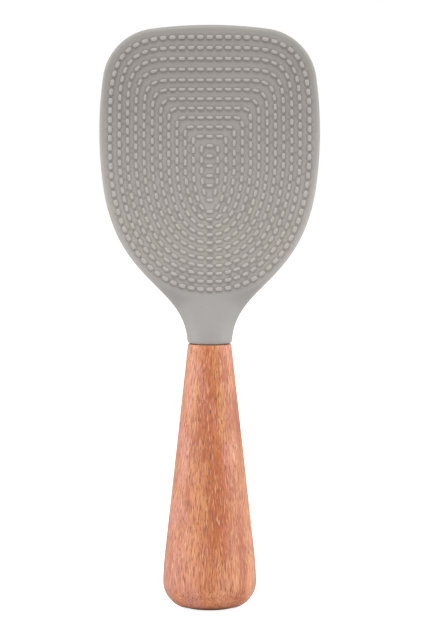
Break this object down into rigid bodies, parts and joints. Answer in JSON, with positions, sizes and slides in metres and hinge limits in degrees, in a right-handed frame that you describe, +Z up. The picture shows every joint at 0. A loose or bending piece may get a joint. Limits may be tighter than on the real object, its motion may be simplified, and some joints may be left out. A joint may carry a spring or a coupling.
{
  "type": "rice paddle",
  "caption": "Rice paddle: a silicone blade with rings of raised dashes, moulded over a stiff core whose tang is glued into a turned wooden handle that stands on its butt.",
  "frame": {"origin": "middle of the flat on the handle's butt, which the paddle stands on", "axes": "+Z up the handle's axis to the crown of the blade, -Y out of the face with the raised dashes, +X across the blade"},
  "size_m": [0.08, 0.0342, 0.2125],
  "materials": {
    "handle_wood": "sanded beech with a thin oil finish",
    "head_silicone": "satin warm grey silicone",
    "core_nylon": "natural moulded nylon",
    "cured_glue": "cured amber glue"
  },
  "bodies": {
    "root": {"handle": "handle_wood", "silicone_head": "head_silicone", "blade_core": "core_nylon", "bond_sleeve": "cured_glue"}
  },
  "joints": []
}
